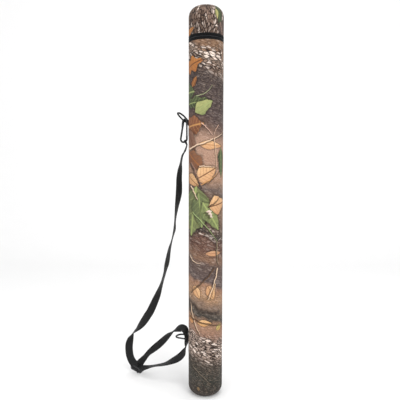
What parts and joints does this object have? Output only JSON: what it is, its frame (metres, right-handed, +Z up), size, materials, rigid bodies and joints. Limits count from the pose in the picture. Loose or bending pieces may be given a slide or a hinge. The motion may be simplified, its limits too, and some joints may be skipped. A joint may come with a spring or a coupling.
{
  "type": "rod case",
  "caption": "Tall padded cylindrical case with a zipped domed lid, tabs with D-rings and an adjustable clip-on shoulder strap.",
  "frame": {"origin": "centre of the flat base, on the case's axis", "axes": "+Z up along the case's axis to the lid; +Y towards the lid's fabric hinge; the strap hangs on the -X side, turned 28 degrees towards +Y"},
  "size_m": [0.3171, 0.1923, 1.148],
  "materials": {
    "camo_fabric": "printed woven polyester, matt, bark-and-leaf camouflage",
    "black_tape": "fine black twill tape",
    "black_webbing": "ribbed black polyester webbing",
    "foam": "closed-cell foam",
    "tube_plastic": "extruded pale plastic",
    "lining_cloth": "smooth black lining",
    "zip_nylon": "black nylon",
    "gunmetal": "dark gunmetal plate, satin",
    "black_plastic": "moulded black acetal"
  },
  "bodies": {
    "case": {"body_cover": "camo_fabric", "zipper_tape_lower": "black_tape", "hinge_flap": "black_tape", "mouth_binding": "black_tape", "upper_tab": "black_webbing", "lower_tab": "black_webbing", "strap_main": "black_webbing", "strap_lower_run": "black_webbing", "strap_upper_run": "black_webbing", "base_bumper": "foam", "body_padding": "foam", "butt_cushion": "foam", "tube_liner": "tube_plastic", "inner_lining": "lining_cloth", "zipper_coil_lower": "zip_nylon", "zip_stop_closed": "zip_nylon", "zip_stop_open": "zip_nylon", "strap_adjuster": "black_plastic", "tube_end_plug": "black_plastic"},
    "lid": {"lid_cover": "camo_fabric", "lid_shell": "foam", "lid_crown_pad": "foam", "lid_lining": "lining_cloth", "lid_binding": "black_tape", "zipper_tape_upper": "black_tape", "zipper_coil_upper": "zip_nylon"},
    "zip_slider": {"zip_slider_body": "gunmetal"},
    "zip_pull": {"zip_pull_tab": "gunmetal"},
    "upper_ring": {"upper_d_ring": "gunmetal"},
    "snap_hook": {"hook_frame": "gunmetal", "hook_rivet": "gunmetal", "strap_end_loop": "black_webbing"},
    "hook_gate": {"hook_gate": "gunmetal"},
    "lower_ring": {"lower_d_ring": "gunmetal"}
  },
  "joints": [
    {"name": "lid_hinge", "type": "hinge", "parent": "case", "child": "lid", "pos_m": [0, 0.0515, 1.054], "axis": [-1, 0, 0], "range_deg": [0, 115], "deforming": ["hinge_flap"]},
    {"name": "zip_travel", "type": "hinge", "parent": "case", "child": "zip_slider", "pos_m": [0, 0, 1.054], "axis": [0, 0, -1], "range_deg": [0, 294]},
    {"name": "zip_pull_swing", "type": "hinge", "parent": "zip_slider", "child": "zip_pull", "pos_m": [0.03061, 0.04713, 1.054], "axis": [0.8387, -0.5446, 0], "range_deg": [0, 165]},
    {"name": "upper_ring_swing", "type": "hinge", "parent": "case", "child": "upper_ring", "pos_m": [-0.0565, 0.02495, 0.821], "axis": [0.4695, 0.8829, 0], "range_deg": [-95, 50]},
    {"name": "hook_swing", "type": "hinge", "parent": "case", "child": "snap_hook", "pos_m": [-0.06134, 0.01585, 0.821], "axis": [0.4695, 0.8829, 0], "range_deg": [-3, 25], "deforming": ["strap_main"]},
    {"name": "gate_swing", "type": "hinge", "parent": "snap_hook", "child": "hook_gate", "pos_m": [-0.05675, 0.01341, 0.808], "axis": [0.4695, 0.8829, 0], "range_deg": [0, 24], "stiffness_Nm_per_rad": 0.02, "springref_deg": -17.19},
    {"name": "lower_ring_swing", "type": "hinge", "parent": "case", "child": "lower_ring", "pos_m": [-0.05262, 0.02288, 0.161], "axis": [0.4695, 0.8829, 0], "range_deg": [-12, 12], "deforming": ["strap_lower_run", "strap_upper_run"]}
  ]
}
